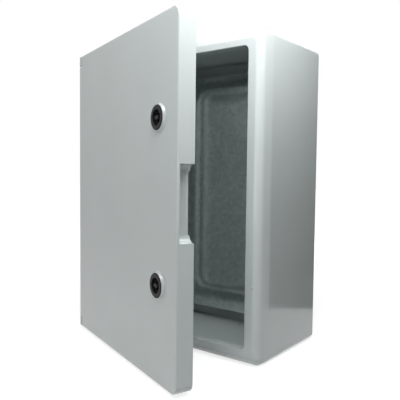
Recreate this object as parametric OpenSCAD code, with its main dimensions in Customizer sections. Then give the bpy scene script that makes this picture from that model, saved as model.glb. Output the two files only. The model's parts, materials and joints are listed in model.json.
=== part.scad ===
// Hinged wall box in light grey plastic with two quarter-turn locks and a steel mounting plate.
// Row frame: origin at the centre of the back face on the wall, +Z up, front towards -Y, +X to the lock side.

/* [Box] */
// Width across the sides
box_w = 300; // [260:1:360]
// Height
box_h = 400; // [340:1:480]
// Depth from the wall to the front frame
box_d = 152; // [125:1:190]
// Moulded wall thickness
wall = 3.5; // [2.5:0.1:4.5]
// Radius of the two upright front corners
corner_r = 10; // [6:0.5:16]
// Radius of the top and bottom front edges
rim_r = 12.5; // [8:0.5:16]
// Radius of the long edges between the sides and the top and bottom
edge_r = 7.5; // [5:0.5:10]
// Radius of the back edges
back_r = 2; // [1:0.5:4]
// Depth of the front band, up to the crease round the sides
band_d = 25; // [20:0.5:32]
// Draft of the front band towards the front, in degrees
band_draft = 3; // [1:0.5:5]
// Width of the frame round the opening
frame_w = 19.5; // [18:0.5:26]
// Radius of the opening corners on the lock side
open_r = 6; // [4:0.5:10]
// Depth of the return lip behind the frame
lip_d = 13; // [10:0.5:18]
// Thickness of the return lip
lip_t = 3; // [2:0.1:4]
// Radius of the small moulded pip on the frame
pip_r = 1.6; // [1:0.1:2.5]
// Distance of the pip from the side of the box
pip_inset = 8.5; // [5:0.5:11]
// Height of the pip below the middle
pip_drop = 103.5; // [60:0.5:140]

/* [Wall fixing] */
// Spacing of the wall holes across
fix_x = 200; // [150:1:220]
// Spacing of the wall holes up
fix_z = 300; // [220:1:320]
// Diameter of the wall holes
fix_hole_d = 7; // [5:0.5:9]
// Diameter of the bosses round the wall holes
fix_boss_d = 18; // [14:0.5:24]
// Height of the bosses above the back wall
fix_boss_h = 3; // [1.5:0.5:5]

/* [Mounting plate] */
// Gap from the opening edge to the plate edge, seen from the front
plate_margin = 3; // [1:0.5:8]
// Sheet thickness
plate_t = 1.5; // [1:0.1:3]
// Corner radius of the sheet
plate_r = 4; // [2:0.5:10]
// Height of the posts above the back wall
post_h = 20; // [12:0.5:28]
// Diameter of the posts
post_d = 12; // [10:0.5:16]
// Inset of the posts from the plate edge
post_inset = 12; // [10:0.5:20]
// Screw thread diameter
screw_d = 4.8; // [3.5:0.1:6]
// Screw length under the head
screw_len = 12; // [9:0.5:14]
// Screw head diameter
screw_head_d = 9.5; // [8:0.1:11]
// Screw head height
screw_head_h = 3.4; // [2.4:0.1:4.5]
// Washer diameter
washer_d = 12; // [10:0.5:15]
// Washer thickness
washer_t = 1.2; // [0.8:0.1:2]

/* [Door] */
// Angle the door stands open at rest, in degrees
door_open = 20.7; // [0:0.1:90]
// Door thickness
door_t = 20.6; // [17:0.1:25]
// Setback of the door from the top and bottom of the box
door_set_z = 3; // [1:0.5:6]
// Setback of the free edge from the side of the box
door_set_x = 1; // [0.5:0.5:5]
// Panel thickness
panel_t = 3; // [2.5:0.1:4]
// Flange thickness
flange_t = 3; // [2:0.1:4]
// Radius of the two free corners
door_corner_r = 10; // [6:0.5:16]
// Radius of the front edges
door_edge_r = 1.7; // [1:0.1:2.8]
// Gap between the closed door and the frame
door_gap = 0.3; // [0.3:0.05:1]
// Length of the grip recess in the free edge
grip_len = 81; // [60:1:110]
// Radius in the ends of the grip recess
grip_r = 8; // [4:0.5:10]

/* [Hinge] */
// Height of the hinge lugs
lug_h = 13; // [9:0.5:16]
// Play above the door barrel
play_top = 2; // [0.6:0.1:3]
// Play below the door barrel
play_bottom = 0.4; // [0.3:0.05:1]
// Hinge pin diameter
pin_d = 5; // [4:0.1:6]
// Length of pin inside the door
pin_in_door = 14; // [10:0.5:20]
// Running clearance of the pin in the door, on the radius
pin_clear = 0.05; // [0.02:0.01:0.1]

/* [Gasket] */
// Width of the gasket
gasket_w = 4.6; // [3.6:0.1:5.2]
// Depth of the gasket in its channel
gasket_h = 6; // [4:0.1:8]
// Clearance of the gasket in the channel on each side
gasket_fit = 0.2; // [0:0.05:0.4]
// Distance of the gasket's middle outside the opening edge
gasket_off = 3.2; // [2.8:0.1:3.8]
// Thickness of the ribs beside the gasket
rib_t = 2.5; // [1.8:0.1:3]
// Drop of the ribs below the gasket face
rib_drop = 2; // [0.5:0.1:2.6]

/* [Locks] */
// Distance of the lock axis from the free edge of the door
lock_inset = 40; // [36:0.5:50]
// Distance of each lock above or below the middle
lock_z = 89; // [70:1:130]
// Collar diameter at the panel
collar_d = 30.5; // [30:0.1:34]
// Collar diameter at its front
collar_top_d = 28.4; // [28.2:0.1:29.6]
// Collar height
collar_h = 3; // [2:0.1:4]
// Lock head diameter
head_d = 26.3; // [25:0.1:27]
// Lock head stand-out beyond the collar
head_out = 0.6; // [0.3:0.1:1.2]
// Depth of the head's seat in the collar
seat_depth = 2.6; // [1.6:0.1:3.4]
// Seal thickness
seal_t = 0.8; // [0.5:0.1:1.2]
// Diameter of the key well in the lock head
well_d = 17; // [16.4:0.1:18.5]
// Depth of the key well
well_depth = 3.4; // [2:0.1:4]
// Lock body diameter
body_d = 22; // [20:0.1:23]
// Lock body width across its two flats
body_flat = 20.4; // [18.8:0.1:21.2]
// Lock body length behind the panel
body_len = 21; // [16:0.5:24]
// Nut width across flats
nut_af = 27; // [25:0.5:30]
// Nut thickness
nut_t = 5; // [3:0.5:8]
// Barrel diameter
barrel_d = 12; // [10:0.1:13]
// Barrel flange diameter
barrel_flange_d = 15.8; // [14.5:0.1:17]
// Running clearance of the barrel, on the radius
barrel_clear = 0.05; // [0.02:0.01:0.1]
// Key socket diameter
socket_d = 11; // [9:0.1:12]
// Key socket depth
socket_depth = 6; // [4:0.5:8]
// Diameter of the key insert
bit_d = 4.6; // [3:0.1:5.5]
// Width of the key insert's two bits
bit_w = 3; // [2:0.1:4]
// Length over the key insert's two bits
bit_len = 8.4; // [6.5:0.1:8.8]
// Drop of the key insert below the lock's face
bit_drop = 0.4; // [0.2:0.1:1.5]
// Cam thickness
cam_t = 3; // [2:0.1:4]
// Cam width
cam_w = 15; // [12:0.5:18]
// Reach of the cam from the lock axis
cam_len = 32; // [29:0.5:36]
// Gap between the locked cam and the return lip
cam_gap = 0.6; // [0.4:0.1:2]
// Width of the square that drives the cam
square_w = 8; // [6:0.1:8.4]
// Cam screw diameter
cam_screw_d = 5; // [4:0.1:6]

/* [Hidden] */
$fn = 96;
eps = 0.01;
fy = -box_d;
hx = box_w / 2;
hz = box_h / 2;
open_x = hx - frame_w;
open_z = hz - frame_w;

// door planes and hinge axis, door closed
nose_r = door_t / 2;
door_back = fy - door_gap;
door_front = door_back - door_t;
pin_x = -hx + nose_r;
pin_y = door_back - nose_r;
door_x1 = hx - door_set_x;
door_z1 = hz - door_set_z;
lug_z0 = door_z1 - lug_h;
barrel_z1 = lug_z0 - play_top;
barrel_z0 = -lug_z0 + play_bottom;
lug_clear = 0.4;
notch_front = pin_x + sqrt(pow(nose_r + lug_clear, 2) - pow(nose_r - panel_t, 2)) + 0.1;
notch_back = pin_x + nose_r + lug_clear;
pin_foot = 0.5;

// gasket ring, measured from the opening edge
groove_w = gasket_w + 2 * gasket_fit;
ring_out = gasket_off + groove_w / 2 + rib_t;
ring_in = gasket_off - groove_w / 2 - rib_t;
ring_x = open_x + ring_out;
ring_z = open_z + ring_out;
ring_r = open_r + ring_out;
near_x = max(ring_x + notch_back, 0);
near_z = max(ring_z - barrel_z1, 0);
ring_hinge_r = max(ring_r, near_x + near_z + sqrt(2 * near_x * near_z) + 1);
open_hinge_r = max(open_r, ring_hinge_r - ring_out + 3);
grip_x = ring_x;

// mounting plate
plate_x = open_x - plate_margin;
plate_z = open_z - plate_margin;
plate_y = -wall - post_h;
post_x = plate_x - post_inset;
post_z = plate_z - post_inset;
screw_fit = 0.05;

// locks, heights along the axis from the panel's front face, inwards negative
lock_x = door_x1 - lock_inset;
collar_bore_d = head_d + 0.5;
seat_o = collar_h - seat_depth;
head_o0 = seat_o + seal_t;
head_o1 = collar_h + head_out;
body_o = -panel_t - body_len;
well_o = head_o1 - well_depth;
flange_o1 = well_o - 0.2;
flange_o0 = flange_o1 - 2;
socket_o = flange_o1 - socket_depth;
cam_o1 = -(fy + lip_d - door_front) - cam_gap;
cam_o0 = cam_o1 - cam_t;
hole_fit = 0.15;
oring_r = 0.65;
oring_mid = barrel_d / 2 - oring_r;
oring_o = -panel_t - body_len / 2;
screw_head_o = cam_o0 - 1.2;
tenon_o = cam_o0 + 0.2;
screw_hole_o = tenon_o + 13;

abs_grey = [0.80, 0.82, 0.80];
steel = [0.68, 0.71, 0.70];
black = [0.07, 0.07, 0.08];
foam = [0.20, 0.20, 0.21];
zinc = [0.75, 0.76, 0.78];

// rectangle with its own radius on the left and on the right corners
module plate2d(x0, x1, z0, z1, rl, rr) {
  half = (x1 - x0) / 2;
  translate([x0, z0 + rl]) square([half + 1, z1 - z0 - 2 * rl]);
  translate([x0 + half, z0 + rr]) square([half, z1 - z0 - 2 * rr]);
  translate([x0 + rl, z0]) square([x1 - rr - x0 - rl, z1 - z0]);
  translate([x0 + rl, z0 + rl]) circle(r = rl);
  translate([x0 + rl, z1 - rl]) circle(r = rl);
  translate([x1 - rr, z0 + rr]) circle(r = rr);
  translate([x1 - rr, z1 - rr]) circle(r = rr);
}

// outline drawn in X and Z, from y0 back to y1
module xz(y0, y1) {
  translate([0, y1, 0]) rotate([90, 0, 0]) linear_extrude(height = y1 - y0) children();
}

// outline drawn in Y and Z, from x0 across to x1
module yz(x0, x1) {
  translate([x0, 0, 0]) rotate([90, 0, 90]) linear_extrude(height = x1 - x0) children();
}

// round bar along Y from y0 back to y1
module bar_y(x, z, d, y0, y1) {
  translate([x, y1, z]) rotate([90, 0, 0]) cylinder(d = d, h = y1 - y0);
}

// the four places of a pattern in X and Z
module four(x, z) {
  for (sx = [-1, 1]) {
    for (sz = [-1, 1]) {
      translate([sx * x, 0, sz * z]) children();
    }
  }
}

// opening outline grown by g
module opening2d(g) {
  plate2d(-open_x - g, open_x + g, -open_z - g, open_z + g, open_hinge_r + g, open_r + g);
}

// turns the closed door about the hinge axis to its rest position
module door_at_rest() {
  translate([pin_x, pin_y, 0]) rotate([0, 0, -door_open]) translate([-pin_x, -pin_y, 0]) children();
}

// places a lock piece drawn along +Z: heights count outwards from the panel's front face
module lock_at(z) {
  door_at_rest() translate([lock_x, door_front, z]) rotate([90, 0, 0]) children();
}

/* box */

// middle of the front corner circle that meets the front face and the drafted band
function corner_mid(half, r) = half - (r + (band_d - r) * sin(band_draft)) / cos(band_draft);

// section of the box: half wide, front at fy, with radius r at the front and a crease behind the band
module case2d(half, r) {
  mid = corner_mid(half, r);
  tip = [mid + r * cos(band_draft), fy + r - r * sin(band_draft)];
  back = half - back_r;
  right = [[back, 0], [half, -back_r], [half, fy + band_d], tip, [mid, fy]];
  left = [for (i = [4:-1:0]) [-right[i][0], right[i][1]]];
  polygon(concat(right, left));
  for (side = [-1, 1]) {
    translate([side * mid, fy + r]) circle(r = r);
    translate([side * back, -back_r]) circle(r = back_r);
  }
}

module box_shape() {
  intersection() {
    linear_extrude(height = box_h, center = true) case2d(hx, corner_r);
    xz(fy - 1, 1) plate2d(-hx, hx, -hz, hz, edge_r, edge_r);
    yz(-hx - 1, hx + 1) rotate(-90) mirror([1, 0]) case2d(hz, rim_r);
  }
}

module box_cavity() {
  x = hx - wall;
  z = hz - wall;
  r = max(edge_r - wall, 1);
  intersection() {
    linear_extrude(height = box_h, center = true) {
      rotate(90) plate2d(fy + wall, -wall, -x, x, max(corner_r - wall, 1), back_r);
    }
    xz(fy, 0) plate2d(-x, x, -z, z, r, r);
    yz(-hx, hx) plate2d(fy + wall, -wall, -z, z, max(rim_r - wall, 1), back_r);
  }
}

// one lug with its lower face at z, with the neck back to the box
module hinge_lug(z) {
  translate([pin_x, pin_y, z]) cylinder(r = nose_r, h = lug_h);
  translate([-hx, pin_y, z]) cube([2 * nose_r, fy + band_d + 2 - pin_y, lug_h]);
}

// the lugs share the rounded edges of the box
module hinge_lugs() {
  intersection() {
    union() {
      hinge_lug(lug_z0);
      hinge_lug(-door_z1);
    }
    xz(door_front - 1, 0) plate2d(-hx, hx, -hz, hz, edge_r, edge_r);
  }
}

module box_body() {
  color(abs_grey) {
    difference() {
      union() {
        difference() {
          union() {
            box_shape();
            hinge_lugs();
          }
          box_cavity();
          xz(fy - 1, fy + wall + 1) opening2d(0);
        }
        xz(fy + wall - eps, fy + lip_d) difference() {
          opening2d(lip_t);
          opening2d(0);
        }
        four(post_x, post_z) bar_y(0, 0, post_d, plate_y, -wall + eps);
        four(fix_x / 2, fix_z / 2) bar_y(0, 0, fix_boss_d, -wall - fix_boss_h, -wall + eps);
        pip();
      }
      four(fix_x / 2, fix_z / 2) bar_y(0, 0, fix_hole_d, -wall - fix_boss_h - 1, 1);
      four(post_x, post_z) bar_y(0, 0, screw_d + 2 * screw_fit, plate_y - 1, -wall);
      translate([pin_x, pin_y, lug_z0 - 1]) cylinder(d = pin_d, h = lug_h + 2);
      translate([pin_x, pin_y, -door_z1 - 1]) cylinder(d = pin_d, h = lug_h + 2);
    }
  }
}

module pip() {
  x = hx - pip_inset;
  out = max(x - corner_mid(hx, corner_r), 0);
  y = fy + corner_r - sqrt(pow(corner_r, 2) - pow(out, 2));
  translate([x, y + 0.15 * pip_r, -pip_drop]) sphere(r = pip_r);
}

/* mounting plate */

module mounting_plate() {
  color(steel) difference() {
    xz(plate_y - plate_t, plate_y) plate2d(-plate_x, plate_x, -plate_z, plate_z, plate_r, plate_r);
    four(post_x, post_z) bar_y(0, 0, screw_d + 0.6, plate_y - plate_t - 1, plate_y + 1);
  }
}

module plate_screws() {
  top = plate_y - plate_t - washer_t;
  color(zinc) four(post_x, post_z) difference() {
    union() {
      bar_y(0, 0, screw_head_d, top - screw_head_h, top);
      bar_y(0, 0, screw_d, top - eps, top + screw_len);
    }
    translate([-screw_head_d * 0.3, top - screw_head_h - 1, -0.6]) cube([screw_head_d * 0.6, 2.4, 1.2]);
    translate([-0.6, top - screw_head_h - 1, -screw_head_d * 0.3]) cube([1.2, 2.4, screw_head_d * 0.6]);
  }
}

module plate_washers() {
  color(zinc) four(post_x, post_z) difference() {
    bar_y(0, 0, washer_d, plate_y - plate_t - washer_t, plate_y - plate_t);
    bar_y(0, 0, screw_d + 0.4, plate_y - plate_t - washer_t - 1, plate_y - plate_t + 1);
  }
}

/* hinge pins */

module pin_body(h) {
  c = 0.6;
  rotate_extrude() polygon([[0, 0], [pin_d / 2 - c, 0], [pin_d / 2, c], [pin_d / 2, h - c], [pin_d / 2 - c, h], [0, h]]);
}

module upper_hinge_pin() {
  z0 = barrel_z1 - pin_in_door;
  color(zinc) translate([pin_x, pin_y, z0]) pin_body(door_z1 - pin_foot - z0);
}

module lower_hinge_pin() {
  z0 = -door_z1 + pin_foot;
  color(zinc) translate([pin_x, pin_y, z0]) pin_body(barrel_z0 + pin_in_door - z0);
}

/* door */

module door_shape() {
  intersection() {
    linear_extrude(height = 2 * door_z1, center = true) {
      translate([pin_x, pin_y]) circle(r = nose_r);
      translate([pin_x, door_front + door_edge_r]) square([door_x1 - pin_x, door_t - door_edge_r]);
      translate([pin_x, door_front]) square([door_x1 - door_edge_r - pin_x, door_t]);
      translate([door_x1 - door_edge_r, door_front + door_edge_r]) circle(r = door_edge_r);
    }
    xz(door_front - 1, door_back + 1) {
      plate2d(-hx - 1, door_x1, -door_z1, door_z1, 1, door_corner_r);
    }
    yz(-hx - 1, hx + 1) plate2d(door_front, door_back + 5, -door_z1, door_z1, door_edge_r, 1);
  }
}

// gasket channel outline grown by g from the opening edge
module ring2d(g) {
  r = max(ring_r - ring_out + g, 1);
  rh = max(ring_hinge_r - ring_out + g, 1);
  plate2d(-open_x - g, open_x + g, -open_z - g, open_z + g, rh, r);
}

// recess outline in the free edge, grown by g
module grip2d(g) {
  r = grip_r + g;
  x1 = door_x1 + 20;
  h = grip_len / 2 + g;
  plate2d(grip_x - g, x1, -h, h, r, 1);
}

module door_panel() {
  inner = door_front + panel_t;
  chan_x0 = notch_back + flange_t;
  color(abs_grey) door_at_rest() difference() {
    union() {
      difference() {
        door_shape();
        xz(inner, door_back + 1) ring2d(ring_in);
        xz(inner, door_back + 1) difference() {
          plate2d(chan_x0, door_x1 - flange_t, -door_z1 + flange_t, door_z1 - flange_t, 1, door_corner_r - flange_t);
          ring2d(ring_out);
          grip2d(flange_t);
        }
        xz(inner, door_back + 1) grip2d(0);
        xz(door_back - gasket_h, door_back + 1) difference() {
          ring2d(gasket_off + groove_w / 2);
          ring2d(gasket_off - groove_w / 2);
        }
        xz(door_back - rib_drop, door_back + 1) difference() {
          ring2d(ring_out);
          ring2d(ring_in - 1);
        }
      }
      for (sz = [-1, 1]) {
        translate([lock_x, door_front + eps, sz * lock_z]) rotate([90, 0, 0]) {
          cylinder(d1 = collar_d, d2 = collar_top_d, h = collar_h + eps);
        }
      }
    }
    for (sz = [-1, 1]) {
      translate([lock_x, door_front, sz * lock_z]) rotate([90, 0, 0]) {
        translate([0, 0, seat_o]) cylinder(d = collar_bore_d, h = seat_depth + 1);
        translate([0, 0, -panel_t - 1]) flat_round(body_d + 2 * hole_fit, body_flat + 2 * hole_fit, panel_t + collar_h);
      }
    }
    hinge_notch(barrel_z1, door_z1 + 1);
    hinge_notch(-door_z1 - 1, barrel_z0);
    translate([pin_x, pin_y, barrel_z1 - pin_in_door - 0.5]) {
      cylinder(r = pin_d / 2 + pin_clear, h = pin_in_door + 1);
    }
    translate([pin_x, pin_y, barrel_z0 - 0.5]) {
      cylinder(r = pin_d / 2 + pin_clear, h = pin_in_door + 1);
    }
  }
}

// room for a hinge lug in the door's corner
module hinge_notch(z0, z1) {
  translate([-hx - 1, door_front - 1, z0]) cube([notch_front + hx + 1, door_t + 2, z1 - z0]);
  translate([-hx - 1, door_front + panel_t, z0]) cube([notch_back + hx + 1, door_t + 1, z1 - z0]);
}

module door_gasket() {
  color(foam) door_at_rest() xz(door_back - gasket_h, door_back) difference() {
    ring2d(gasket_off + gasket_w / 2);
    ring2d(gasket_off - gasket_w / 2);
  }
}

/* lock pieces, drawn along +Z with the panel's front face on z = 0 */

module flat_round(d, flat, h) {
  intersection() {
    cylinder(d = d, h = h);
    translate([-flat / 2, -d, 0]) cube([flat, 2 * d, h]);
  }
}

module lock_housing() {
  color(black) difference() {
    union() {
      translate([0, 0, head_o0]) cylinder(d = head_d, h = head_o1 - head_o0);
      translate([0, 0, body_o]) flat_round(body_d, body_flat, head_o0 - body_o + eps);
    }
    translate([0, 0, well_o]) cylinder(d = well_d, h = well_depth + 1);
    translate([0, 0, flange_o0 - 0.3]) cylinder(d = barrel_flange_d + 2 * barrel_clear, h = 5);
    translate([0, 0, body_o - 1]) cylinder(d = barrel_d + 2 * barrel_clear, h = head_o1 - body_o + 2);
  }
}

module lock_seal() {
  color(foam) difference() {
    translate([0, 0, seat_o]) cylinder(d = head_d - 0.4, h = seal_t);
    translate([0, 0, seat_o - 1]) cylinder(d = body_d + 0.4, h = seal_t + 2);
  }
}

module lock_nut() {
  color(black) difference() {
    translate([0, 0, -panel_t - nut_t]) cylinder(d = nut_af / cos(30), h = nut_t, $fn = 6);
    translate([0, 0, -panel_t - nut_t - 1]) cylinder(d = body_d + 0.1, h = nut_t + 2);
  }
}

module lock_barrel() {
  color(black) {
    difference() {
      union() {
        translate([0, 0, flange_o0]) cylinder(d = barrel_flange_d, h = flange_o1 - flange_o0);
        translate([0, 0, cam_o1]) cylinder(d = barrel_d, h = flange_o0 - cam_o1 + eps);
        translate([-square_w / 2, -square_w / 2, tenon_o]) cube([square_w, square_w, cam_o1 - tenon_o + eps]);
      }
      translate([0, 0, socket_o]) cylinder(d = socket_d, h = socket_depth + 1);
      translate([0, 0, tenon_o - 1]) cylinder(d = cam_screw_d, h = screw_hole_o - tenon_o + 1);
      translate([0, 0, oring_o]) rotate_extrude() {
        translate([oring_mid - oring_r, -oring_r - 0.2]) square([3, 2 * oring_r + 0.4]);
      }
    }
    key_insert();
  }
}

// double-bit insert that stands in the key socket, up to the lock's face
module key_insert() {
  h = head_o1 - bit_drop - socket_o + 1;
  translate([0, 0, socket_o - 1]) cylinder(d = bit_d, h = h);
  translate([-bit_len / 2, -bit_w / 2, socket_o - 1]) cube([bit_len, bit_w, h]);
}

module lock_oring() {
  color(foam) translate([0, 0, oring_o]) rotate_extrude() translate([oring_mid, 0]) circle(r = oring_r);
}

// cam points up at rest
module lock_cam() {
  color(zinc) translate([0, 0, cam_o0]) difference() {
    union() {
      cylinder(d = cam_w + 3, h = cam_t);
      translate([-cam_w / 2, 0, 0]) cube([cam_w, cam_len - 3, cam_t]);
      translate([-cam_w / 2 + 3, 0, 0]) cube([cam_w - 6, cam_len, cam_t]);
      translate([-cam_w / 2 + 3, cam_len - 3, 0]) cylinder(r = 3, h = cam_t);
      translate([cam_w / 2 - 3, cam_len - 3, 0]) cylinder(r = 3, h = cam_t);
    }
    translate([-square_w / 2 - 0.05, -square_w / 2 - 0.05, -1]) cube([square_w + 0.1, square_w + 0.1, cam_t + 2]);
  }
}

module lock_cam_screw() {
  color(zinc) {
    translate([0, 0, screw_head_o]) cylinder(d = square_w * 1.45, h = cam_o0 - screw_head_o);
    translate([0, 0, screw_head_o - 3.5]) cylinder(d = 8 / cos(30), h = 3.5 + eps, $fn = 6);
    translate([0, 0, cam_o0 - eps]) cylinder(d = cam_screw_d, h = screw_hole_o - cam_o0 - 1);
  }
}

box_body();
mounting_plate();
plate_screws();
plate_washers();
upper_hinge_pin();
lower_hinge_pin();
door_panel();
door_gasket();
lock_at(lock_z) lock_housing();  // upper_lock_housing
lock_at(lock_z) lock_seal();  // upper_lock_seal
lock_at(lock_z) lock_nut();  // upper_lock_nut
lock_at(lock_z) lock_barrel();  // upper_lock_barrel
lock_at(lock_z) lock_oring();  // upper_lock_oring
lock_at(lock_z) lock_cam();  // upper_lock_cam
lock_at(lock_z) lock_cam_screw();  // upper_lock_cam_screw
lock_at(-lock_z) lock_housing();  // lower_lock_housing
lock_at(-lock_z) lock_seal();  // lower_lock_seal
lock_at(-lock_z) lock_nut();  // lower_lock_nut
lock_at(-lock_z) lock_barrel();  // lower_lock_barrel
lock_at(-lock_z) lock_oring();  // lower_lock_oring
lock_at(-lock_z) lock_cam();  // lower_lock_cam
lock_at(-lock_z) lock_cam_screw();  // lower_lock_cam_screw
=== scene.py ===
import json
import math

import bmesh
import bpy
from mathutils import Matrix, Vector


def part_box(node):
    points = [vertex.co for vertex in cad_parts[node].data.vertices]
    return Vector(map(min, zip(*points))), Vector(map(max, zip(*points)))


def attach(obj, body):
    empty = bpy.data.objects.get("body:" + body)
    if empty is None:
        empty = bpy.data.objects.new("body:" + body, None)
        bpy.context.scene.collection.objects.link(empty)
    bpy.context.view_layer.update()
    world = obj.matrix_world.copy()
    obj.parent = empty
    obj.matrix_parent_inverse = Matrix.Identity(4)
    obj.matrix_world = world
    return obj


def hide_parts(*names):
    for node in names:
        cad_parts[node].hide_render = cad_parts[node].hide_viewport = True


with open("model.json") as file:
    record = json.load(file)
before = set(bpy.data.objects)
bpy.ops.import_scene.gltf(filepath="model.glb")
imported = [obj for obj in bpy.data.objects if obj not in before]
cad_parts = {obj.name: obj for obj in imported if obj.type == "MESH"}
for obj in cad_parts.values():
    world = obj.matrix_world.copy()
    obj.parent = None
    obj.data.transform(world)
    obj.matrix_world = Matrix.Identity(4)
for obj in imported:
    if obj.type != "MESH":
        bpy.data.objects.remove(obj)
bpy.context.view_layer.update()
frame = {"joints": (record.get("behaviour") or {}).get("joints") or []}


# The box: one moulding in light grey ABS, open at the front, with a frame round its opening.
# A drafted band runs round the front up to a crease, and a lip turns in behind the frame.
# Hinge lugs, plate posts, the bosses of the wall holes and a small pip on the frame are moulded with it.
MM = 0.001
box_low, box_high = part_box("box_body")
half_w = box_high.x
half_h = box_high.z
front_y = -152 * MM
wall = 3.5 * MM
band_d = 25 * MM
band_draft = math.radians(3)
crease_y = front_y + band_d
corner_r = 10 * MM
rim_r = 12.5 * MM
edge_r = 7.5 * MM
back_r = 2 * MM
frame_w = 19.5 * MM
open_x = half_w - frame_w
open_z = half_h - frame_w
open_r = 6 * MM
open_hinge_r = 23.6 * MM
lip_d = 13 * MM
lip_t = 3 * MM
soft_r = 0.8 * MM
ring_gap = 0.05 * MM
same_place = 0.001 * MM
corner_steps = 8


def new_piece(name):
    """An empty mesh object, open in edit mode."""
    bpy.ops.object.select_all(action="DESELECT")
    bpy.ops.mesh.primitive_plane_add()
    piece = bpy.context.object
    piece.name = name
    piece.data.name = name
    bpy.ops.object.mode_set(mode="EDIT")
    bpy.ops.mesh.select_all(action="SELECT")
    bpy.ops.mesh.delete(type="VERT")
    return piece


def pick(piece, kind, test):
    """Selects only the points, edges or faces that pass the test."""
    bpy.ops.mesh.select_mode(type=kind)
    bpy.ops.mesh.select_all(action="DESELECT")
    shape = bmesh.from_edit_mesh(piece.data)
    for item in {"VERT": shape.verts, "EDGE": shape.edges, "FACE": shape.faces}[kind]:
        if test(item):
            item.select_set(True)
    bmesh.update_edit_mesh(piece.data)


def ring_tag(piece):
    """The number of the ring that each point of a lofted piece belongs to."""
    layers = bmesh.from_edit_mesh(piece.data).verts.layers.int
    return layers.get("ring") or layers.new("ring")


def add_ring(piece, number, y, x0, x1, half_z, r_left, r_right):
    """Adds the edges of a rectangle that faces the front, with rounded corners."""
    middle = ((x0 + x1) / 2, y, 0)
    bpy.ops.mesh.select_all(action="DESELECT")
    bpy.ops.mesh.primitive_plane_add(size=2, location=middle, rotation=(math.pi / 2, 0, 0))
    bpy.ops.transform.resize(value=((x1 - x0) / 2, 1, half_z), center_override=middle)
    for side, radius in ((-1, r_left), (1, r_right)):
        tag = ring_tag(piece)
        pick(piece, "VERT", lambda v: v[tag] == 0 and (v.co.x - middle[0]) * side > 0)
        bpy.ops.mesh.bevel(offset=radius, segments=corner_steps, profile=0.5, affect="VERTICES")
    tag = ring_tag(piece)
    pick(piece, "FACE", lambda f: all(v[tag] == 0 for v in f.verts))
    bpy.ops.mesh.delete(type="ONLY_FACE")
    tag = ring_tag(piece)
    for point in bmesh.from_edit_mesh(piece.data).verts:
        point[tag] = point[tag] or number


def pick_rings(piece, *numbers):
    """Selects the edges of whole rings."""
    tag = ring_tag(piece)
    pick(piece, "EDGE", lambda e: e.verts[0][tag] == e.verts[1][tag] and e.verts[0][tag] in numbers)


def loft(name, rings, closed=False):
    """Bridges rounded rectangles in turn into one skin, capped at its ends or closed on itself."""
    piece = new_piece(name)
    for number, ring in enumerate(rings, 1):
        add_ring(piece, number, *ring)
        if number > 1:
            pick_rings(piece, number - 1, number)
            bpy.ops.mesh.bridge_edge_loops()
    last = len(rings)
    if closed:
        pick_rings(piece, 1, last)
        bpy.ops.mesh.bridge_edge_loops()
    else:
        for end in (1, last):
            pick_rings(piece, end)
            bpy.ops.mesh.edge_face_add()
    bpy.ops.mesh.select_all(action="SELECT")
    bpy.ops.mesh.normals_make_consistent(inside=False)
    bpy.ops.object.mode_set(mode="OBJECT")
    return piece


def only(piece):
    """Makes one object the active and only selected one."""
    bpy.ops.object.select_all(action="DESELECT")
    piece.select_set(True)
    bpy.context.view_layer.objects.active = piece


def carve(piece, tool, operation="DIFFERENCE"):
    """Cuts a tool out of a piece, or joins it on, and removes the tool."""
    only(piece)
    modifier = piece.modifiers.new("carve", "BOOLEAN")
    modifier.operation = operation
    modifier.solver = "EXACT"
    modifier.object = tool
    bpy.ops.object.modifier_apply(modifier=modifier.name)
    bpy.data.meshes.remove(tool.data)


def block(x0, x1, y0, y1, z0, z1):
    """A block between two corners."""
    bpy.ops.object.select_all(action="DESELECT")
    bpy.ops.mesh.primitive_cube_add(size=1, location=((x0 + x1) / 2, (y0 + y1) / 2, (z0 + z1) / 2))
    bpy.ops.transform.resize(value=(x1 - x0, y1 - y0, z1 - z0))
    bpy.ops.object.transform_apply(location=True, rotation=True, scale=True)
    return bpy.context.object


def rod(radius, start, end, sides=48):
    """A round rod from one point to another."""
    bpy.ops.object.select_all(action="DESELECT")
    along = Vector(end) - Vector(start)
    turn = along.to_track_quat("Z", "Y").to_euler()
    middle = (Vector(start) + Vector(end)) / 2
    bpy.ops.mesh.primitive_cylinder_add(
        vertices=sides, radius=radius, depth=along.length, location=middle, rotation=turn
    )
    bpy.ops.object.transform_apply(location=True, rotation=True, scale=True)
    return bpy.context.object


def shade(piece, angle=30):
    """Merges doubled points, shades round edges smooth and keeps flat faces flat."""
    only(piece)
    bpy.ops.object.mode_set(mode="EDIT")
    bpy.ops.mesh.select_all(action="SELECT")
    bpy.ops.mesh.remove_doubles(threshold=same_place)
    bpy.ops.object.mode_set(mode="OBJECT")
    bpy.ops.object.shade_smooth_by_angle(angle=math.radians(angle), keep_sharp_edges=True)
    modifier = piece.modifiers.new("flat faces", "WEIGHTED_NORMAL")
    modifier.keep_sharp = True
    bpy.ops.object.modifier_apply(modifier=modifier.name)


def case_half(y, full, radius):
    """Half width of the box at depth y: straight sides, drafted band, rounded front edge."""
    if y >= crease_y:
        return full
    middle = full - (radius + (band_d - radius) * math.sin(band_draft)) / math.cos(band_draft)
    if y >= front_y + radius * (1 - math.sin(band_draft)):
        return full - (crease_y - y) * math.tan(band_draft)
    return middle + math.sqrt(max(radius**2 - (front_y + radius - y) ** 2, 0))


def arc_steps(count):
    """Angles of a quarter turn in equal steps."""
    return [math.pi / 2 * step / count for step in range(count + 1)]


def front_to_back(depths):
    """Depths in order, rounded to a hundredth of a millimetre so that none comes twice."""
    return sorted({round(y, 5) for y in depths})


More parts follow.
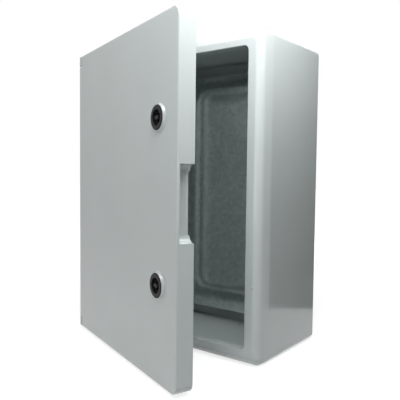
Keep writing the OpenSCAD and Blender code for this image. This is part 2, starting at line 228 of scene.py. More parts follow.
# The skin starts at the back, runs over the outside to the front and turns in at the opening.
# From the end of the lip it goes forward to the frame again, and then over the inside.
box_rings = []
for angle in arc_steps(4):
    inset = back_r * (1 - math.sin(angle))
    x = half_w - inset
    r = edge_r - inset
    box_rings.append((back_r * (math.cos(angle) - 1), -x, x, half_h - inset, r, r))
front_steps = {crease_y}
front_steps |= {front_y + corner_r * (1 - math.sin(angle)) for angle in arc_steps(9)}
front_steps |= {front_y + rim_r * (1 - math.sin(angle)) for angle in arc_steps(11)}
for y in reversed(front_to_back(front_steps)):
    x = case_half(y, half_w, corner_r)
    box_rings.append((y, -x, x, case_half(y, half_h, rim_r), edge_r, edge_r))


def opening_ring(y, grow):
    """The opening's outline at depth y, grown all round."""
    x = open_x + grow
    return (y, -x, x, open_z + grow, open_hinge_r + grow, open_r + grow)


lip_y = front_y + lip_d
for angle in arc_steps(4):
    y = front_y + soft_r * (1 - math.cos(angle))
    box_rings.append(opening_ring(y, soft_r * (1 - math.sin(angle))))
for angle in arc_steps(3):
    y = lip_y - soft_r * (1 - math.sin(angle))
    box_rings.append(opening_ring(y, soft_r * (1 - math.cos(angle))))
for angle in arc_steps(3):
    y = lip_y - ring_gap - soft_r * (1 - math.cos(angle))
    box_rings.append(opening_ring(y, lip_t - soft_r * (1 - math.sin(angle))))
box_rings.append(opening_ring(front_y + wall, lip_t))
cavity_x = half_w - wall
cavity_z = half_h - wall
cavity_r = edge_r - wall
cavity_y = front_y + wall + ring_gap


def cavity_half(y, full, radius):
    """Half width of the inside at depth y, rounded at the front."""
    short = max(radius - (y - cavity_y), 0)
    return full - radius + math.sqrt(max(radius**2 - short**2, 0))


cavity_rings = []
cavity_steps = {cavity_y + (corner_r - wall) * (1 - math.cos(angle)) for angle in arc_steps(5)}
cavity_steps |= {cavity_y + (rim_r - wall) * (1 - math.cos(angle)) for angle in arc_steps(7)}
for y in front_to_back(cavity_steps):
    x = cavity_half(y, cavity_x, corner_r - wall)
    cavity_rings.append((y, -x, x, cavity_half(y, cavity_z, rim_r - wall), cavity_r, cavity_r))
back_steps = 3
for angle in arc_steps(back_steps):
    inset = back_r * (1 - math.cos(angle))
    y = -wall - back_r * (1 - math.sin(angle))
    x = cavity_x - inset
    r = cavity_r - inset
    cavity_rings.append((y, -x, x, cavity_z - inset, r, r))

box = loft("moulded_box", box_rings + cavity_rings)
hinge = next(joint for joint in frame["joints"] if joint["name"] == "door_hinge")
pin_x, pin_y, _ = hinge["pos_m"]
nose_r = pin_x + half_w
lug_top = 197 * MM
lug_h = 13 * MM
lug_soft = 0.5 * MM
lug_back = crease_y - 0.2 * MM
lug_bore_r = 2.5 * MM
nose_bevel = 0.9999 * nose_r
ahead = front_y - 100 * MM
outline = (-half_w, half_w, half_h, edge_r, edge_r)
in_wall = 0.4 * MM
lug_room = []
for y, x0, x1, z, r, _ in cavity_rings[:-back_steps]:
    lug_room.append((y - in_wall, x0 - in_wall, x1 + in_wall, z + in_wall, r, r))


def rise(edge):
    """The difference in height between the ends of an edge."""
    return abs(edge.verts[0].co.z - edge.verts[1].co.z)


for lug_z in (lug_top - lug_h, -lug_top):
    lug = block(-half_w, -half_w + 2 * nose_r, pin_y - nose_r, lug_back, lug_z, lug_z + lug_h)
    bpy.ops.object.mode_set(mode="EDIT")
    pick(lug, "EDGE", lambda e: all(v.co.y < pin_y for v in e.verts) and rise(e) > lug_h / 2)
    # The two bevels stop just short of each other, and the points between them are merged.
    bpy.ops.mesh.bevel(offset=nose_bevel, segments=20, profile=0.5)
    bpy.ops.mesh.select_all(action="SELECT")
    bpy.ops.mesh.remove_doubles(threshold=0.01 * MM)
    pick(lug, "EDGE", lambda e: rise(e) < same_place and min(v.co.y for v in e.verts) < front_y)
    bpy.ops.mesh.bevel(offset=lug_soft, segments=3, profile=0.5)
    bpy.ops.object.mode_set(mode="OBJECT")
    carve(lug, loft("outline", [(ahead, *outline), (0, *outline)]), "INTERSECT")
    carve(lug, loft("room", lug_room))
    carve(box, lug, "UNION")
    carve(box, rod(lug_bore_r, (pin_x, pin_y, lug_z - MM), (pin_x, pin_y, lug_z + lug_h + MM)))

plate_low, plate_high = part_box("mounting_plate")
screw_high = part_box("plate_screws")[1]
screw_head_r = 4.75 * MM
post_x = screw_high.x - screw_head_r
post_z = screw_high.z - screw_head_r
post_r = 6 * MM
post_bore_r = 2.45 * MM
fix_x = 100 * MM
fix_z = 150 * MM
boss_r = 9 * MM
boss_d = 3 * MM
fix_hole_r = 3.5 * MM


def rod_at(x, z, radius, y0, y1, sides=48):
    """A round rod along the depth of the box."""
    return rod(radius, (x, y0, z), (x, y1, z), sides)


corners = [(sx, sz) for sx in (-1, 1) for sz in (-1, 1)]
for sx, sz in corners:
    post = (sx * post_x, sz * post_z)
    carve(box, rod_at(*post, post_r, -wall + MM, plate_high.y), "UNION")
    carve(box, rod_at(*post, post_bore_r, -wall, plate_high.y - MM, sides=24))
    boss = (sx * fix_x, sz * fix_z)
    carve(box, rod_at(*boss, boss_r, -wall + MM, -wall - boss_d), "UNION")
    carve(box, rod_at(*boss, fix_hole_r, MM, -wall - boss_d - MM, sides=32))

pip_r = 1.6 * MM
pip_sunk = 0.51 * MM
pip_place = (half_w - 8.5 * MM, front_y + pip_sunk, -103.5 * MM)
bpy.ops.mesh.primitive_uv_sphere_add(segments=20, ring_count=12, radius=pip_r, location=pip_place)
bpy.ops.object.transform_apply(location=True, rotation=True, scale=True)
carve(box, bpy.context.object, "UNION")


def on_crease(edge):
    """Finds the outer edges that lie on the crease."""
    inner_x = cavity_x - 10 * MM
    return all(abs(v.co.y - crease_y) < same_place and abs(v.co.x) > inner_x for v in edge.verts)


only(box)
bpy.ops.object.mode_set(mode="EDIT")
pick(box, "EDGE", on_crease)
bpy.ops.mesh.mark_sharp()
bpy.ops.object.mode_set(mode="OBJECT")
shade(box)


def new_material(name):
    """A node material and its main shader."""
    material = bpy.data.materials.new(name)
    material.use_nodes = True
    return material, material.node_tree, material.node_tree.nodes["Principled BSDF"]


def add_node(tree, kind, **values):
    """Adds a node and sets its plain values by socket name."""
    node = tree.nodes.new(kind)
    for name, value in values.items():
        node.inputs[name.replace("_", " ")].default_value = value
    return node


def span(tree, mask, low, high):
    """Turns a mask into a value between two limits."""
    node = add_node(tree, "ShaderNodeMapRange", To_Min=low, To_Max=high)
    tree.links.new(mask, node.inputs["Value"])
    return node.outputs["Result"]


def tint(tree, mask, first, second):
    """Mixes two colours by a mask."""
    node = tree.nodes.new("ShaderNodeMix")
    node.data_type = "RGBA"
    sockets = {socket.identifier: socket for socket in [*node.inputs, *node.outputs]}
    sockets["A_Color"].default_value = (*first, 1)
    sockets["B_Color"].default_value = (*second, 1)
    tree.links.new(mask, sockets["Factor_Float"])
    return sockets["Result_Color"]


def bump(tree, height, strength, depth):
    """A fine relief for the shader's Normal."""
    node = add_node(tree, "ShaderNodeBump", Strength=strength, Distance=depth)
    tree.links.new(height, node.inputs["Height"])
    return node.outputs["Normal"]


grain_group = bpy.data.node_groups.new("surface_grain", "ShaderNodeTree")
for socket in ("Patch Scale", "Grain Scale"):
    grain_group.interface.new_socket(socket, in_out="INPUT", socket_type="NodeSocketFloat")
for socket in ("Patches", "Grain"):
    grain_group.interface.new_socket(socket, in_out="OUTPUT", socket_type="NodeSocketFloat")
group_in = grain_group.nodes.new("NodeGroupInput")
group_out = grain_group.nodes.new("NodeGroupOutput")
place = grain_group.nodes.new("ShaderNodeTexCoord")
for scale, detail, result in (("Patch Scale", 3, "Patches"), ("Grain Scale", 5, "Grain")):
    noise = add_node(grain_group, "ShaderNodeTexNoise", Detail=detail)
    grain_group.links.new(place.outputs["Object"], noise.inputs["Vector"])
    grain_group.links.new(group_in.outputs[scale], noise.inputs["Scale"])
    grain_group.links.new(noise.outputs["Fac"], group_out.inputs[result])


def grain(tree, patch_scale, grain_scale):
    """Places the shared grain in a material: broad patches and a fine grain."""
    node = tree.nodes.new("ShaderNodeGroup")
    node.node_tree = grain_group
    node.inputs["Patch Scale"].default_value = patch_scale
    node.inputs["Grain Scale"].default_value = grain_scale
    return node.outputs["Patches"], node.outputs["Grain"]


def dress(piece, material, body, node):
    """Gives a finished piece its material and its place among the bodies and nodes."""
    piece.data.materials.clear()
    piece.data.materials.append(material)
    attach(piece, body)
    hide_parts(node)


abs_plastic, tree, shader = new_material("light_grey_abs")
patches, fine = grain(tree, patch_scale=14, grain_scale=1500)
base = tint(tree, patches, (0.556, 0.606, 0.600), (0.600, 0.654, 0.648))
tree.links.new(base, shader.inputs["Base Color"])
tree.links.new(span(tree, patches, low=0.10, high=0.16), shader.inputs["Roughness"])
shader.inputs["Specular IOR Level"].default_value = 0.45
tree.links.new(bump(tree, fine, strength=0.12, depth=0.05 * MM), shader.inputs["Normal"])
dress(box, abs_plastic, "box", "box_body")


# The mounting plate: a flat sheet of galvanised steel, cut with rounded corners and deburred.
# It lies on the four posts of the box and takes the devices.
plate_r = 4 * MM
plate_hole_r = 2.7 * MM
burr = 0.25 * MM
plate_back, plate_front = plate_high.y, plate_low.y
plate_rings = []
for y, inset in ((plate_back, burr), (plate_back - burr, 0), (plate_front + burr, 0), (plate_front, burr)):
    x = plate_high.x - inset
    plate_rings.append((y, -x, x, plate_high.z - inset, plate_r - inset, plate_r - inset))
plate = loft("galvanised_plate", plate_rings)
for sx, sz in corners:
    carve(plate, rod_at(sx * post_x, sz * post_z, plate_hole_r, plate_front - MM, plate_back + MM))
shade(plate)

zinc_sheet, tree, shader = new_material("galvanised_sheet")
place = tree.nodes.new("ShaderNodeTexCoord")
flake = add_node(tree, "ShaderNodeTexVoronoi", Scale=200)
tree.links.new(place.outputs["Object"], flake.inputs["Vector"])
tone = tree.nodes.new("ShaderNodeSeparateColor")
tree.links.new(flake.outputs["Color"], tone.inputs["Color"])
drawn = add_node(tree, "ShaderNodeMapping", Scale=(70, 1, 2.5))
tree.links.new(place.outputs["Object"], drawn.inputs["Vector"])
streak = add_node(tree, "ShaderNodeTexNoise", Scale=1, Detail=3)
tree.links.new(drawn.outputs["Vector"], streak.inputs["Vector"])
patches, fine = grain(tree, patch_scale=22, grain_scale=700)
flake_share = 0.5
spangle = tree.nodes.new("ShaderNodeMath")
spangle.operation = "MULTIPLY_ADD"
spangle.inputs[1].default_value = flake_share
tree.links.new(tone.outputs["Red"], spangle.inputs[0])
tree.links.new(span(tree, patches, low=0, high=1 - flake_share), spangle.inputs[2])
base = tint(tree, spangle.outputs[0], (0.56, 0.59, 0.59), (0.88, 0.91, 0.91))
tree.links.new(base, shader.inputs["Base Color"])
tree.links.new(span(tree, streak.outputs["Fac"], low=0.08, high=0.13), shader.inputs["Roughness"])
tree.links.new(bump(tree, fine, strength=0.02, depth=0.02 * MM), shader.inputs["Normal"])
shader.inputs["Metallic"].default_value = 1
dress(plate, zinc_sheet, "box", "mounting_plate")


# The washers and screws of the plate: zinc plated steel.
# A flat washer lies under each pan head, which has a cross recess.
# Each screw cuts its own thread in a post of the box.
def turned(name, profile, steps=48, closed=False):
    """Spins a profile of radius and height pairs about the upright axis."""
    piece = new_piece(name)
    bpy.ops.mesh.select_mode(type="VERT")
    bpy.ops.mesh.primitive_plane_add(size=MM, location=(profile[0][0], 0, profile[0][1]))
    bpy.ops.mesh.merge(type="CENTER")
    points = profile + profile[:1] if closed else profile
    for (r0, h0), (r1, h1) in zip(points, points[1:]):
        bpy.ops.mesh.extrude_region_move(TRANSFORM_OT_translate={"value": (r1 - r0, 0, h1 - h0)})
    bpy.ops.mesh.select_all(action="SELECT")
    bpy.ops.mesh.spin(steps=steps, angle=2 * math.pi, center=(0, 0, 0), axis=(0, 0, 1))
    bpy.ops.mesh.select_all(action="SELECT")
    bpy.ops.mesh.remove_doubles(threshold=0.002 * MM)
    bpy.ops.mesh.normals_make_consistent(inside=False)
    bpy.ops.object.mode_set(mode="OBJECT")
    return piece


def mm(points):
    """Turns profile points from millimetres into metres."""
    return [(r * MM, h * MM) for r, h in points]


def settle(piece, matrix):
    """Puts a piece in its place and keeps the place in its mesh."""
    only(piece)
    piece.matrix_world = matrix
    bpy.ops.object.transform_apply(location=True, rotation=True, scale=True)


def copies(piece, names, matrices):
    """Copies a finished piece to its places, each with its own mesh."""
    made = []
    for name, matrix in zip(names, matrices):
        only(piece)
        bpy.ops.object.duplicate(linked=False)
        copy = bpy.context.object
        copy.name = copy.data.name = name
        settle(copy, matrix)
        made.append(copy)
    bpy.data.meshes.remove(piece.data)
    return made


def in_one(name, pieces):
    """Joins like pieces into one object."""
    bpy.ops.object.select_all(action="DESELECT")
    for piece in pieces:
        piece.select_set(True)
    bpy.context.view_layer.objects.active = pieces[0]
    bpy.ops.object.join()
    pieces[0].name = pieces[0].data.name = name
    return pieces[0]


def to_front(x, y, z):
    """The place of a piece that was drawn upright and now faces the front."""
    return Matrix.Translation((x, y, z)) @ Matrix.Rotation(math.pi / 2, 4, "X")


washer_t = 1.2 * MM
washer_profile = [(2.6, 0), (5.8, 0), (6, 0.2), (6, 1.0), (5.8, 1.2), (2.8, 1.2), (2.6, 1.0)]
washer = turned("washer", mm(washer_profile), closed=True)
shade(washer)
places = [to_front(sx * post_x, plate_front, sz * post_z) for sx, sz in corners]
washers = in_one("plate_fixing_washers", copies(washer, ["washer"] * 4, places))

screw_pitch = 1.6
screw_turns = 6
screw_profile = [
    (0, 3.4), (2.4, 3.4), (3.6, 3.1), (4.4, 2.4), (4.75, 1.4), (4.75, 0.2), (4.6, 0), (2.4, 0), (2.0, -0.6),
]
for turn in range(screw_turns):
    h = -1.4 - screw_pitch * turn
    screw_profile += [(2.0, h + 0.5), (2.4, h), (2.0, h - 0.5)]
screw = turned("screw", mm(screw_profile + [(1.6, -11.4), (1.0, -12), (0, -12)]))
recess_long = 2.85 * MM
recess_half = 0.6 * MM
recess_floor = 2 * MM
over_head = 5 * MM
for wide, tall in ((recess_long, recess_half), (recess_half, recess_long)):
    carve(screw, block(-wide, wide, -tall, tall, recess_floor, over_head))
shade(screw)
places = [to_front(sx * post_x, plate_front - washer_t, sz * post_z) for sx, sz in corners]
screws = in_one("plate_fixing_screws", copies(screw, ["screw"] * 4, places))

zinc_plate, tree, shader = new_material("zinc_plated_steel")
patches, fine = grain(tree, patch_scale=120, grain_scale=1800)
tree.links.new(tint(tree, patches, (0.66, 0.67, 0.69), (0.78, 0.79, 0.80)), shader.inputs["Base Color"])
tree.links.new(span(tree, patches, low=0.285, high=0.40), shader.inputs["Roughness"])
tree.links.new(bump(tree, fine, strength=0.1, depth=0.03 * MM), shader.inputs["Normal"])
shader.inputs["Metallic"].default_value = 1
dress(washers, zinc_plate, "box", "plate_washers")
dress(screws, zinc_plate, "box", "plate_screws")


# The hinge pins: bright drawn steel with chamfered ends, pressed into the lugs of the box.
# The door turns on them.
bright_steel, tree, shader = new_material("bright_drawn_steel")
patches, fine = grain(tree, patch_scale=200, grain_scale=2500)
tree.links.new(tint(tree, patches, (0.60, 0.61, 0.62), (0.70, 0.71, 0.72)), shader.inputs["Base Color"])
tree.links.new(span(tree, fine, low=0.17, high=0.265), shader.inputs["Roughness"])
shader.inputs["Metallic"].default_value = 1
pin_place = Matrix.Translation((pin_x, pin_y, 0))
for name in ("upper_hinge_pin", "lower_hinge_pin"):
    pin_low, pin_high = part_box(name)
    z0, z1 = pin_low.z / MM, pin_high.z / MM
    pin_profile = [(0, z0), (1.9, z0), (2.48, z0 + 0.6), (2.48, z1 - 0.6), (1.9, z1), (0, z1)]
    pin = turned(name.replace("pin", "rod"), mm(pin_profile))
    settle(pin, pin_place)
    shade(pin)
    dress(pin, bright_steel, "box", name)


# The door: one moulding in the same ABS, a panel with flanges that hangs on the pins by its round hinge edge.
# Two ribs inside hold the foam seal, and a tapered collar stands round each lock.
# A grip recess is cut in the free edge. The door is modelled closed and then swung to where it stands.
door_t = 20.6 * MM
door_back = front_y - 0.3 * MM
door_front = door_back - door_t
door_x1 = 149 * MM
door_z1 = 197 * MM
door_corner_r = 10 * MM
door_edge_r = 1.7 * MM
panel_back = door_front + 3 * MM
rib_y = door_back - 2 * MM
rib_hinge_r = 20.6 * MM
rib_soft = 0.3 * MM
groove_y = door_back - 6 * MM


def door_ring(y, inset):
    """The door's outline at depth y, round about the pins and drawn in on the other sides."""
    x0 = pin_x - math.sqrt(max(nose_r**2 - (y - pin_y) ** 2, 0))
    return (y, x0, door_x1 - inset, door_z1 - inset, MM, door_corner_r - inset)


def rib_ring(y, grow):
    """The opening's outline as the ribs of the door follow it."""
    x = open_x + grow
    return (y, -x, x, open_z + grow, rib_hinge_r + grow, open_r + grow)


door_steps = {pin_y + side * nose_r * math.sin(angle) for angle in arc_steps(10) for side in (-1, 1)}
door_steps |= {door_front + door_edge_r * (1 - math.sin(angle)) for angle in arc_steps(5)}
door_steps |= {door_back - soft_r * (1 - math.sin(angle)) for angle in arc_steps(3)}
door_rings = []
for y in front_to_back(door_steps):
    inset = 0
    if y < door_front + door_edge_r:
        inset = door_edge_r - math.sqrt(max(door_edge_r**2 - (door_front + door_edge_r - y) ** 2, 0))
    if y > door_back - soft_r:
        inset = soft_r - math.sqrt(max(soft_r**2 - (y - door_back + soft_r) ** 2, 0))
    door_rings.append(door_ring(y, inset))
door_rings += [rib_ring(y, grow * MM) for y, grow in (
    (door_back + ring_gap, 8.25), (rib_y, 8.25), (rib_y + ring_gap, 5.9), (rib_y - rib_soft, 5.7),
    (groove_y, 5.7), (groove_y - ring_gap, 0.7), (rib_y - rib_soft, 0.7), (rib_y, 0.4),
    (rib_y + ring_gap, -1.5), (rib_y - rib_soft, -1.8), (panel_back + 2 * rib_soft, -1.8), (panel_back, -2.4),
)]
door = loft("moulded_door", door_rings)

rib_out = 8.2 * MM
grip_x = open_x + rib_out
grip_z = 40.5 * MM
grip_r = 8 * MM
flange_t = 3 * MM
notch_front = -131.78 * MM
notch_back = -129 * MM
behind = door_back + 5 * MM


def prism(y0, y1, ring):
    """A straight bar with a ring's outline, from one depth to another."""
    return loft("prism", [(y0, *ring[1:]), (y1, *ring[1:])])


inner_r = door_corner_r - flange_t
channel_ring = (0, notch_back + flange_t, door_x1 - flange_t, door_z1 - flange_t, MM, inner_r)
channel = prism(panel_back, behind, channel_ring)
carve(channel, prism(panel_back - MM, behind + MM, rib_ring(0, rib_out)))
beside = door_x1 + 20 * MM
grip_wall = (0, grip_x - flange_t, beside, grip_z + flange_t, grip_r + flange_t, MM)
carve(channel, prism(panel_back - MM, behind + MM, grip_wall))
carve(door, channel)
carve(door, prism(panel_back, behind, (0, grip_x, beside, grip_z, grip_r, MM)))

barrel_z1 = 182 * MM
barrel_z0 = -183.6 * MM
pin_hole_r = 2.55 * MM
pin_hole_d = 14.5 * MM
for z0, z1, bore_z in ((barrel_z1, door_z1 + MM, barrel_z1), (-door_z1 - MM, barrel_z0, barrel_z0)):
    carve(door, block(-half_w - MM, notch_front, door_front - MM, behind, z0, z1))
    carve(door, block(-half_w - MM, notch_back, panel_back, behind, z0, z1))
    carve(door, rod(pin_hole_r, (pin_x, pin_y, bore_z - pin_hole_d), (pin_x, pin_y, bore_z + pin_hole_d)))

lock_x = 109 * MM
lock_z = 89 * MM
lock_heights = (lock_z, -lock_z)
lock_hole_r = 11.15 * MM
lock_flats = 10.35 * MM
deep = 5 * MM
collar_profile = [
    (0, -1), (15.6, -1), (14.3, 2.7), (14.2, 2.9), (14.0, 3), (13.65, 3), (13.4, 2.75), (13.4, 0.4), (0, 0.4),
]
for z in lock_heights:
    collar = turned("collar", mm(collar_profile), steps=72)
    settle(collar, to_front(lock_x, door_front, z))
    carve(door, collar, "UNION")
    hole = rod_at(lock_x, z, lock_hole_r, door_front - 2 * MM, panel_back + 2 * MM, sides=64)
    between = (lock_x - lock_flats, lock_x + lock_flats, door_front - deep, panel_back + deep)
    carve(hole, block(*between, z - deep * 4, z + deep * 4), "INTERSECT")
    carve(door, hole)

# The hinge's range starts at the closed door, so its lower limit tells how far the door stands open.
door_angle = math.radians(-hinge["range_deg"][0])
swing = pin_place @ Matrix.Rotation(-door_angle, 4, "Z") @ pin_place.inverted()
settle(door, swing)
shade(door)
dress(door, abs_plastic, "door", "door_panel")


# The door seal: a strip of grey polyurethane foam, poured into the groove between the ribs.
# Its face is slightly crowned, and it meets the frame of the box when the door is closed.
seal_mid = 3.2 * MM
seal_half = 2.3 * MM
seal_crown = 1.2 * MM
seal_steps = 12
seal_rings = [rib_ring(groove_y, seal_mid + seal_half)]
for step in range(seal_steps + 1):
    angle = math.pi * step / seal_steps
    y = door_back + (math.sin(angle) - 1) * seal_crown
    seal_rings.append(rib_ring(y, seal_mid + seal_half * math.cos(angle)))
seal_rings.append(rib_ring(groove_y + ring_gap, seal_mid - seal_half))
seal = loft("foam_seal", seal_rings, closed=True)
settle(seal, swing)
shade(seal, angle=60)

foam, tree, shader = new_material("polyurethane_foam")
patches, fine = grain(tree, patch_scale=60, grain_scale=2200)
tree.links.new(tint(tree, fine, (0.25, 0.25, 0.255), (0.35, 0.35, 0.355)), shader.inputs["Base Color"])
tree.links.new(span(tree, patches, low=0.75, high=0.95), shader.inputs["Roughness"])
tree.links.new(bump(tree, fine, strength=0.5, depth=0.15 * MM), shader.inputs["Normal"])
dress(seal, foam, "door", "door_gasket")


# The lock housings: black glass-filled nylon, a round head with a key well on a threaded body with two flats.
# Each is put in from the front on a rubber ring and held by a nut behind the panel.
lock_sides = ("upper", "lower")
lock_places = [swing @ to_front(lock_x, door_front, z) for z in lock_heights]


def lock_pieces(piece, part, material, node, body):
    """Copies a lock piece to the upper and the lower lock."""
    names = [side + "_lock_" + part for side in lock_sides]
    for side, copy in zip(lock_sides, copies(piece, names, lock_places)):
        on_body = side + "_lock" if body == "lock" else body
        dress(copy, material, on_body, side + "_lock_" + node)


def soften(piece, width, segments=2, angle=35):
    """Rounds the sharp edges of a finished shape."""
    only(piece)
    modifier = piece.modifiers.new("soft edges", "BEVEL")
    modifier.width = width
    modifier.segments = segments
    modifier.limit_method = "ANGLE"
    modifier.angle_limit = math.radians(angle)
    bpy.ops.object.modifier_apply(modifier=modifier.name)


thread_pitch = 1.5
thread_turns = 13
root_r = 10.1
crest_r = 11
thread = [(root_r, -3.2)]
for turn in range(thread_turns):
    h = -4.2 - thread_pitch * turn
    thread += [(root_r, h + 0.6), (crest_r, h + 0.1), (crest_r, h - 0.1), (root_r, h - 0.6)]
head = [
    (crest_r, -3.2), (crest_r, 1.2), (12.9, 1.2), (13.15, 1.45), (13.15, 3.0), (12.98, 3.42), (12.55, 3.6),
    (9.1, 3.6), (8.7, 3.48), (8.5, 3.15), (8.5, 0.2), (7.95, 0.2), (7.95, -2.3), (6.05, -2.3),
]
tail = [(6.05, -24), (9.7, -24), (root_r, -23.5)]
shell = turned("shell", mm(tail + thread[::-1] + head), steps=72, closed=True)
flat_x = 10.2 * MM
flat_low = -25 * MM
flat_high = 1.15 * MM
past = 14 * MM
for x0, x1 in ((-past, -flat_x), (flat_x, past)):
    carve(shell, block(x0, x1, -past, past, flat_low, flat_high))
shade(shell)

lock_black, tree, shader = new_material("black_nylon")
patches, fine = grain(tree, patch_scale=90, grain_scale=2600)
base = tint(tree, patches, (0.008, 0.008, 0.009), (0.016, 0.016, 0.017))
tree.links.new(base, shader.inputs["Base Color"])
tree.links.new(span(tree, patches, low=0.40, high=0.54), shader.inputs["Roughness"])
shader.inputs["Specular IOR Level"].default_value = 0.15
tree.links.new(bump(tree, fine, strength=0.25, depth=0.05 * MM), shader.inputs["Normal"])
lock_pieces(shell, "shell", lock_black, "housing", "door")

ring_profile = [(11.3, 0.4), (13.0, 0.4), (13.15, 0.6), (13.15, 1.0), (13.0, 1.2), (11.3, 1.2)]
lock_ring = turned("ring", mm(ring_profile), steps=64, closed=True)
shade(lock_ring)
rubber, tree, shader = new_material("black_rubber")
patches, fine = grain(tree, patch_scale=150, grain_scale=3000)
base = tint(tree, patches, (0.012, 0.012, 0.012), (0.024, 0.024, 0.024))
tree.links.new(base, shader.inputs["Base Color"])
tree.links.new(span(tree, patches, low=0.55, high=0.75), shader.inputs["Roughness"])
tree.links.new(bump(tree, fine, strength=0.2, depth=0.05 * MM), shader.inputs["Normal"])
lock_pieces(lock_ring, "flat_ring", rubber, "seal", "door")


def hexagon(half, depth, height):
    """A hexagonal prism about the upright axis, given by half its width across flats."""
    bpy.ops.object.select_all(action="DESELECT")
    bpy.ops.mesh.primitive_cylinder_add(
        vertices=6, radius=half / math.cos(math.pi / 6), depth=depth,
        location=(0, 0, height), rotation=(0, 0, math.pi / 6)
    )
    bpy.ops.object.transform_apply(location=True, rotation=True, scale=True)
    return bpy.context.object


nut_half = 13.5 * MM
nut_t = 5 * MM
nut_middle = -5.5 * MM
nut = hexagon(nut_half, nut_t, nut_middle)
chamfer_profile = [(0, -8.5), (13.2, -8.5), (16.2, -6.9), (16.2, -4.1), (13.2, -2.5), (0, -2.5)]
carve(nut, turned("chamfer", mm(chamfer_profile), steps=64), "INTERSECT")
bore_profile = [(0, -9), (11.9, -9), (11.05, -7.3), (11.05, -3.7), (11.9, -2), (0, -2)]
carve(nut, turned("bore", mm(bore_profile), steps=64))
shade(nut)
lock_pieces(nut, "ring_nut", lock_black, "nut", "door")


# The lock barrels: black nylon, turned by a double-bit key in the socket of the flange.
# A rubber O-ring seals each one, and a zinc plated cam is held on its square end by a screw.
core_profile = [
    (0, -6), (5.5, -6), (5.5, -0.25), (5.7, 0), (7.6, 0), (7.9, -0.3), (7.9, -2), (6, -2),
    (6, -12.65), (4.7, -12.65), (4.7, -14.35), (6, -14.35), (6, -34.2), (5.7, -34.5), (0, -34.5),
]
core = turned("core", mm(core_profile), steps=64)
tenon_half = 4 * MM
tenon = block(-tenon_half, tenon_half, -tenon_half, tenon_half, -37.3 * MM, -34 * MM)
soften(tenon, 0.3 * MM)
carve(core, tenon, "UNION")
bolt_hole_r = 2.5 * MM
carve(core, rod(bolt_hole_r, (0, 0, -38 * MM), (0, 0, -24.3 * MM), sides=32))
insert_foot = -7
insert_top = 3.2
insert_profile = [(0, insert_foot), (2.3, insert_foot), (2.3, 2.9), (2.0, insert_top), (0, insert_top)]
insert = turned("insert", mm(insert_profile), steps=40)
bit_long = 4.2 * MM
bit_half = 1.5 * MM
bits = block(-bit_long, bit_long, -bit_half, bit_half, insert_foot * MM, insert_top * MM)
soften(bits, 0.25 * MM)
carve(insert, bits, "UNION")
carve(core, insert, "UNION")
shade(core)
lock_pieces(core, "core", lock_black, "barrel", "lock")

o_ring_middle = (5.35, -13.5)
o_ring_r = 0.65
o_ring_steps = 16
o_ring_profile = []
for step in range(o_ring_steps):
    angle = 2 * math.pi * step / o_ring_steps
    r = o_ring_middle[0] + o_ring_r * math.cos(angle)
    o_ring_profile.append((r, o_ring_middle[1] + o_ring_r * math.sin(angle)))
o_ring = turned("o_ring", mm(o_ring_profile), steps=64, closed=True)
shade(o_ring)
lock_pieces(o_ring, "o_ring", rubber, "oring", "lock")

cam_z0 = -37.5 * MM
cam_z1 = -34.5 * MM
cam_long = 32 * MM
cam_half = 7.5 * MM
cam_eye_r = 9 * MM
cam_tip_r = 3 * MM
square = 4.05 * MM
cam = block(-cam_half, cam_half, 0, cam_long, cam_z0, cam_z1)
bpy.ops.object.mode_set(mode="EDIT")
pick(cam, "EDGE", lambda e: all(v.co.y > cam_long - MM for v in e.verts) and rise(e) > MM)
bpy.ops.mesh.bevel(offset=cam_tip_r, segments=8, profile=0.5)
bpy.ops.object.mode_set(mode="OBJECT")
carve(cam, rod(cam_eye_r, (0, 0, cam_z0), (0, 0, cam_z1), sides=64), "UNION")
carve(cam, block(-square, square, -square, square, cam_z0 - MM, cam_z1 + MM))
soften(cam, 0.25 * MM)
shade(cam)
lock_pieces(cam, "tongue", zinc_plate, "cam", "lock")

bolt_profile = [
    (0, -38.7), (5.6, -38.7), (5.8, -38.4), (5.8, -37.7), (5.6, -37.5),
    (2.5, -37.5), (2.5, -26), (2.1, -25.5), (0, -25.5),
]
bolt = turned("bolt", mm(bolt_profile))
bolt_head_half = 4 * MM
bolt_head_t = 4 * MM
bolt_head_middle = -40.2 * MM
bolt_head = hexagon(bolt_head_half, bolt_head_t, bolt_head_middle)
dome_profile = [(0, -42.2), (3.6, -42.2), (4.7, -41.6), (4.7, -38), (0, -38)]
carve(bolt_head, turned("dome", mm(dome_profile)), "INTERSECT")
carve(bolt, bolt_head, "UNION")
shade(bolt)
lock_pieces(bolt, "tongue_screw", zinc_plate, "cam_screw", "lock")


# The stage: the box stands on a plain pale floor, under soft lamps, and the floor keeps a soft shadow.
# The camera and the reflections see the floor and the surround as white.
# A dark card, which the camera does not see, gives the side of the box something dark to reflect.
def shown_white(tree):
    """One for rays from the camera and in reflections, nought for the light that falls on the object."""
    path = tree.nodes.new("ShaderNodeLightPath")
    seen = path.outputs["Is Camera Ray"]
    for kind in ("Is Glossy Ray", "Is Transmission Ray"):
        either = tree.nodes.new("ShaderNodeMath")
        either.operation = "MAXIMUM"
        tree.links.new(seen, either.inputs[0])
        tree.links.new(path.outputs[kind], either.inputs[1])
        seen = either.outputs[0]
    return seen


surround_light = 0.02
floor_pale = 0.60
floor_glow = 1 - floor_pale * surround_light
shadow_depth = 0.34
floor_z = box_low.z
floor_size = 12
bpy.ops.object.select_all(action="DESELECT")
bpy.ops.mesh.primitive_plane_add(size=floor_size, location=(0, 0, floor_z))
floor = bpy.context.object
floor.name = "floor"
pale_floor, tree, shader = new_material("pale_floor")
shader.inputs["Base Color"].default_value = (floor_pale, floor_pale, floor_pale, 1)
shader.inputs["Roughness"].default_value = 0.9
shader.inputs["Specular IOR Level"].default_value = 0.1
shader.inputs["Emission Color"].default_value = (1, 1, 1, 1)
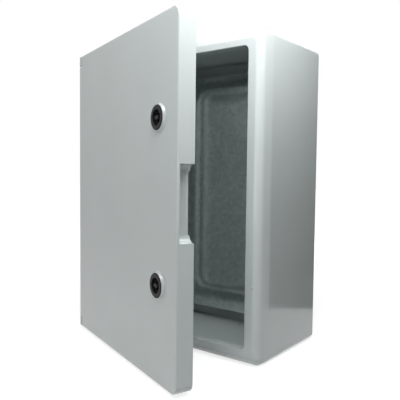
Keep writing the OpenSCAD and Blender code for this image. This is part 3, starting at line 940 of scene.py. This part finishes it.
# Close to the object the floor glows less for the camera, so that the shadow shows.
place = tree.nodes.new("ShaderNodeTexCoord")
near = tree.nodes.new("ShaderNodeTexGradient")
near.gradient_type = "SPHERICAL"
tree.links.new(place.outputs["Object"], near.inputs["Vector"])
path = tree.nodes.new("ShaderNodeLightPath")
room = tree.nodes.new("ShaderNodeMath")
room.operation = "MULTIPLY"
tree.links.new(path.outputs["Is Camera Ray"], room.inputs[0])
tree.links.new(span(tree, near.outputs["Fac"], 0, shadow_depth), room.inputs[1])
glow = tree.nodes.new("ShaderNodeMath")
glow.operation = "SUBTRACT"
tree.links.new(span(tree, shown_white(tree), 0, floor_glow), glow.inputs[0])
tree.links.new(room.outputs[0], glow.inputs[1])
tree.links.new(glow.outputs[0], shader.inputs["Emission Strength"])
floor.data.materials.append(pale_floor)

card_width = 0.18
card_height = 0.65
card_place = (0.227, 0.135, floor_z + card_height / 2)
view_azimuth = math.radians(37.19)
bpy.ops.object.select_all(action="DESELECT")
bpy.ops.mesh.primitive_plane_add(size=1, location=card_place, rotation=(math.pi / 2, 0, -view_azimuth))
card = bpy.context.object
card.scale = (card_width, card_height, 1)
card.name = "dark_card"
card.visible_camera = False
card.visible_shadow = False
card_black, tree, shader = new_material("card_black")
shader.inputs["Base Color"].default_value = (0.03, 0.03, 0.03, 1)
shader.inputs["Roughness"].default_value = 0.9
card.data.materials.append(card_black)

world = bpy.data.worlds.new("white_surround")
bpy.context.scene.world = world
world.use_nodes = True
tree = world.node_tree
background = tree.nodes["Background"]
background.inputs["Color"].default_value = (1, 1, 1, 1)
tree.links.new(span(tree, shown_white(tree), surround_light, 1), background.inputs["Strength"])

# Each lamp has a name, a place, a point that it faces, a size and a power.
lamps = (
    ("right_above", (0.29, -0.15, 0.32), (0.05, -0.15, 0), 0.18, 0.68),
    ("front_above", (0.20, -0.30, 0.36), (0.05, -0.15, 0), 0.18, 0.88),
    ("high_front", (0.30, -0.60, 0.45), (0.05, -0.15, 0), 0.30, 1.00),
    ("front", (0.21, -1.03, 0.12), (0.05, -0.15, 0), 0.45, 1.60),
    ("left_above", (-0.30, -0.50, 0.50), (-0.05, -0.20, 0.1), 0.30, 0.70),
    ("behind", (-0.45, 0.85, 0.60), (0, 0, 0), 0.60, 5.0),
)
for name, place, target, size, power in lamps:
    bpy.ops.object.light_add(type="AREA", location=place)
    lamp = bpy.context.object
    lamp.name = name
    lamp.data.size = size
    lamp.data.energy = power
    lamp.rotation_euler = (Vector(target) - lamp.location).to_track_quat("-Z", "Y").to_euler()

# The camera's place and lens were worked out from the straight edges of the box in the photograph.
view_elevation = math.radians(3.11)
view_roll = math.radians(0.63)
view_distance = 0.6424
view_target = Vector((0.0624, front_y, -0.0028))
focal_pixels = 509.55
image_pixels = 400
sensor_mm = 36
back = Vector((
    math.sin(view_azimuth) * math.cos(view_elevation),
    -math.cos(view_azimuth) * math.cos(view_elevation),
    math.sin(view_elevation),
))
level = Vector((math.cos(view_azimuth), math.sin(view_azimuth), 0))
upright = back.cross(level)
right = math.cos(view_roll) * level + math.sin(view_roll) * upright
up = math.cos(view_roll) * upright - math.sin(view_roll) * level
bpy.ops.object.camera_add()
camera = bpy.context.object
facing = Matrix((right, up, back)).transposed().to_4x4()
camera.matrix_world = Matrix.Translation(view_target + view_distance * back) @ facing
camera.data.sensor_fit = "HORIZONTAL"
camera.data.sensor_width = sensor_mm
camera.data.lens = sensor_mm * focal_pixels / image_pixels
bpy.context.scene.camera = camera
bpy.context.scene.view_settings.view_transform = "Standard"
